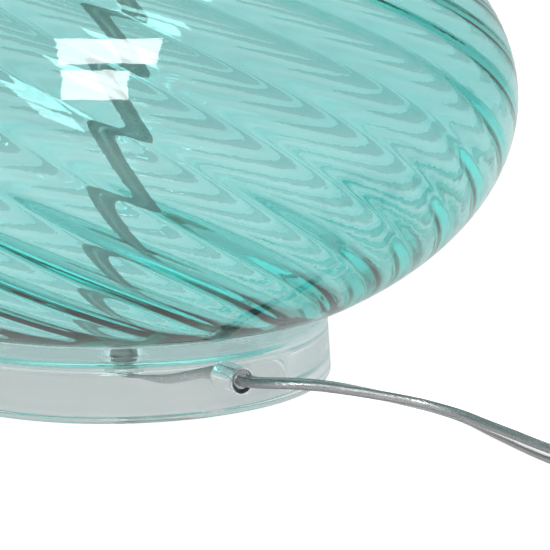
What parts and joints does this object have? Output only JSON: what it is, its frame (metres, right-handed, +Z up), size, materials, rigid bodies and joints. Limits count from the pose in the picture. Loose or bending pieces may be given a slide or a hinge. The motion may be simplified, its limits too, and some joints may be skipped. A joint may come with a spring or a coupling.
{
  "type": "table lamp",
  "caption": "Table lamp with a squashed-globe body of swirled coloured glass on a clear hollow base, a drum shade on a harp, a turn-switch lamp holder and a clear flat lead.",
  "frame": {"origin": "centre of the face that the base rests on, on the lamp's axis", "axes": "+Z up the lamp's axis, +X along the plane of the harp, -Y to the front, where the switch knob points"},
  "size_m": [0.4368, 0.38, 0.4548],
  "materials": {
    "clear_acrylic": "clear cast acrylic, polished",
    "teal_glass": "blown coloured glass, swirled optic ribs, fire polished",
    "clear_silicone": "clear silicone",
    "satin_aluminium": "satin",
    "zinc_steel": "zinc plated",
    "grey_pipe": "satin grey plate",
    "polished_nickel": "polished nickel plate",
    "clear_pvc": "clear flexible PVC over tinned strands",
    "brass": "plain brass",
    "screw_aluminium": "rolled thread",
    "black_phenolic": "moulded",
    "fibre_paper": "vulcanised fibre",
    "frosted_glass": "white frosted inside",
    "shade_linen": "white linen weave",
    "shade_styrene": "white styrene backing",
    "shade_wire": "white powder coat"
  },
  "bodies": {
    "lamp": {"clear_base": "clear_acrylic", "cord_bushing": "satin_aluminium", "lower_washer": "zinc_steel", "lower_nut": "zinc_steel", "seat_gasket": "clear_silicone", "glass_body": "teal_glass", "centre_pipe": "grey_pipe", "mouth_cushion": "clear_silicone", "vase_cap": "polished_nickel", "neck_spool": "polished_nickel", "harp_saddle": "polished_nickel", "harp": "polished_nickel", "holder_cup": "polished_nickel", "hub_set_screw": "zinc_steel", "holder_shell": "polished_nickel", "holder_liner": "fibre_paper", "switch_block": "black_phenolic", "terminal_screws": "brass", "screw_shell": "screw_aluminium", "centre_contact": "brass", "inner_lead": "clear_pvc", "cord_run": "clear_pvc", "cord_coil": "clear_pvc", "cord_tail": "clear_pvc", "plug_body": "clear_pvc", "plug_blades": "brass"},
    "switch": {"switch_shaft": "brass", "switch_knob": "black_phenolic"},
    "bulb": {"bulb_cap": "screw_aluminium", "bulb_glass": "frosted_glass"},
    "shade": {"shade_fabric": "shade_linen", "shade_liner": "shade_styrene", "shade_fitter": "shade_wire", "shade_bottom_ring": "shade_wire"},
    "finial": {"finial": "polished_nickel"},
    "ferrule_right": {"harp_ferrule_right": "polished_nickel"},
    "ferrule_left": {"harp_ferrule_left": "polished_nickel"}
  },
  "joints": [
    {"name": "switch_turn", "type": "hinge", "parent": "lamp", "child": "switch", "pos_m": [0, -0.02, 0.2459], "axis": [0, -1, 0], "continuous": true},
    {"name": "bulb_turn", "type": "hinge", "parent": "lamp", "child": "bulb", "pos_m": [0, 0, 0.26], "axis": [0, 0, 1], "continuous": true},
    {"name": "shade_turn", "type": "hinge", "parent": "lamp", "child": "shade", "pos_m": [0, 0, 0.426], "axis": [0, 0, 1], "continuous": true},
    {"name": "finial_turn", "type": "hinge", "parent": "lamp", "child": "finial", "pos_m": [0, 0, 0.43], "axis": [0, 0, 1], "continuous": true},
    {"name": "ferrule_right_lift", "type": "slide", "parent": "lamp", "child": "ferrule_right", "axis": [0, 0, 1], "range_m": [0, 0.012]},
    {"name": "ferrule_left_lift", "type": "slide", "parent": "lamp", "child": "ferrule_left", "axis": [0, 0, 1], "range_m": [0, 0.012]}
  ]
}
